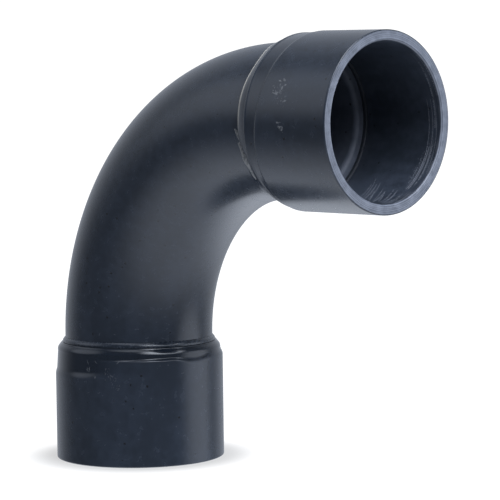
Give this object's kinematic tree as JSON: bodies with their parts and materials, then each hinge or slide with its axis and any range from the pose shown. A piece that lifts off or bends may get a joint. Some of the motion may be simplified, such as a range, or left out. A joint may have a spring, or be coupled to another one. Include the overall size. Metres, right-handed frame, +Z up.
{
  "type": "pvc conduit elbow",
  "caption": "Thick-walled PVC 90 degree elbow: a hot-bent tube with a solvent-cemented socket on each end, joining two straight runs of duct at a right angle.",
  "frame": {"origin": "centre of the lower socket's mouth, on the plane the elbow stands on", "axes": "+Z up the lower socket's axis, +X the way the upper socket's mouth points, XZ the plane of symmetry"},
  "size_m": [0.1431, 0.0568, 0.1432],
  "materials": {
    "tube": "satin dark blue-grey, drawn tube with faint lengthwise streaks",
    "socket": "satin dark blue-grey, saw-cut mouth paler",
    "cement": "cured solvent cement, glossy, a little paler than the tube"
  },
  "bodies": {
    "root": {"bend_tube": "tube", "lower_socket": "socket", "upper_socket": "socket", "lower_cement": "cement", "upper_cement": "cement"}
  },
  "joints": []
}
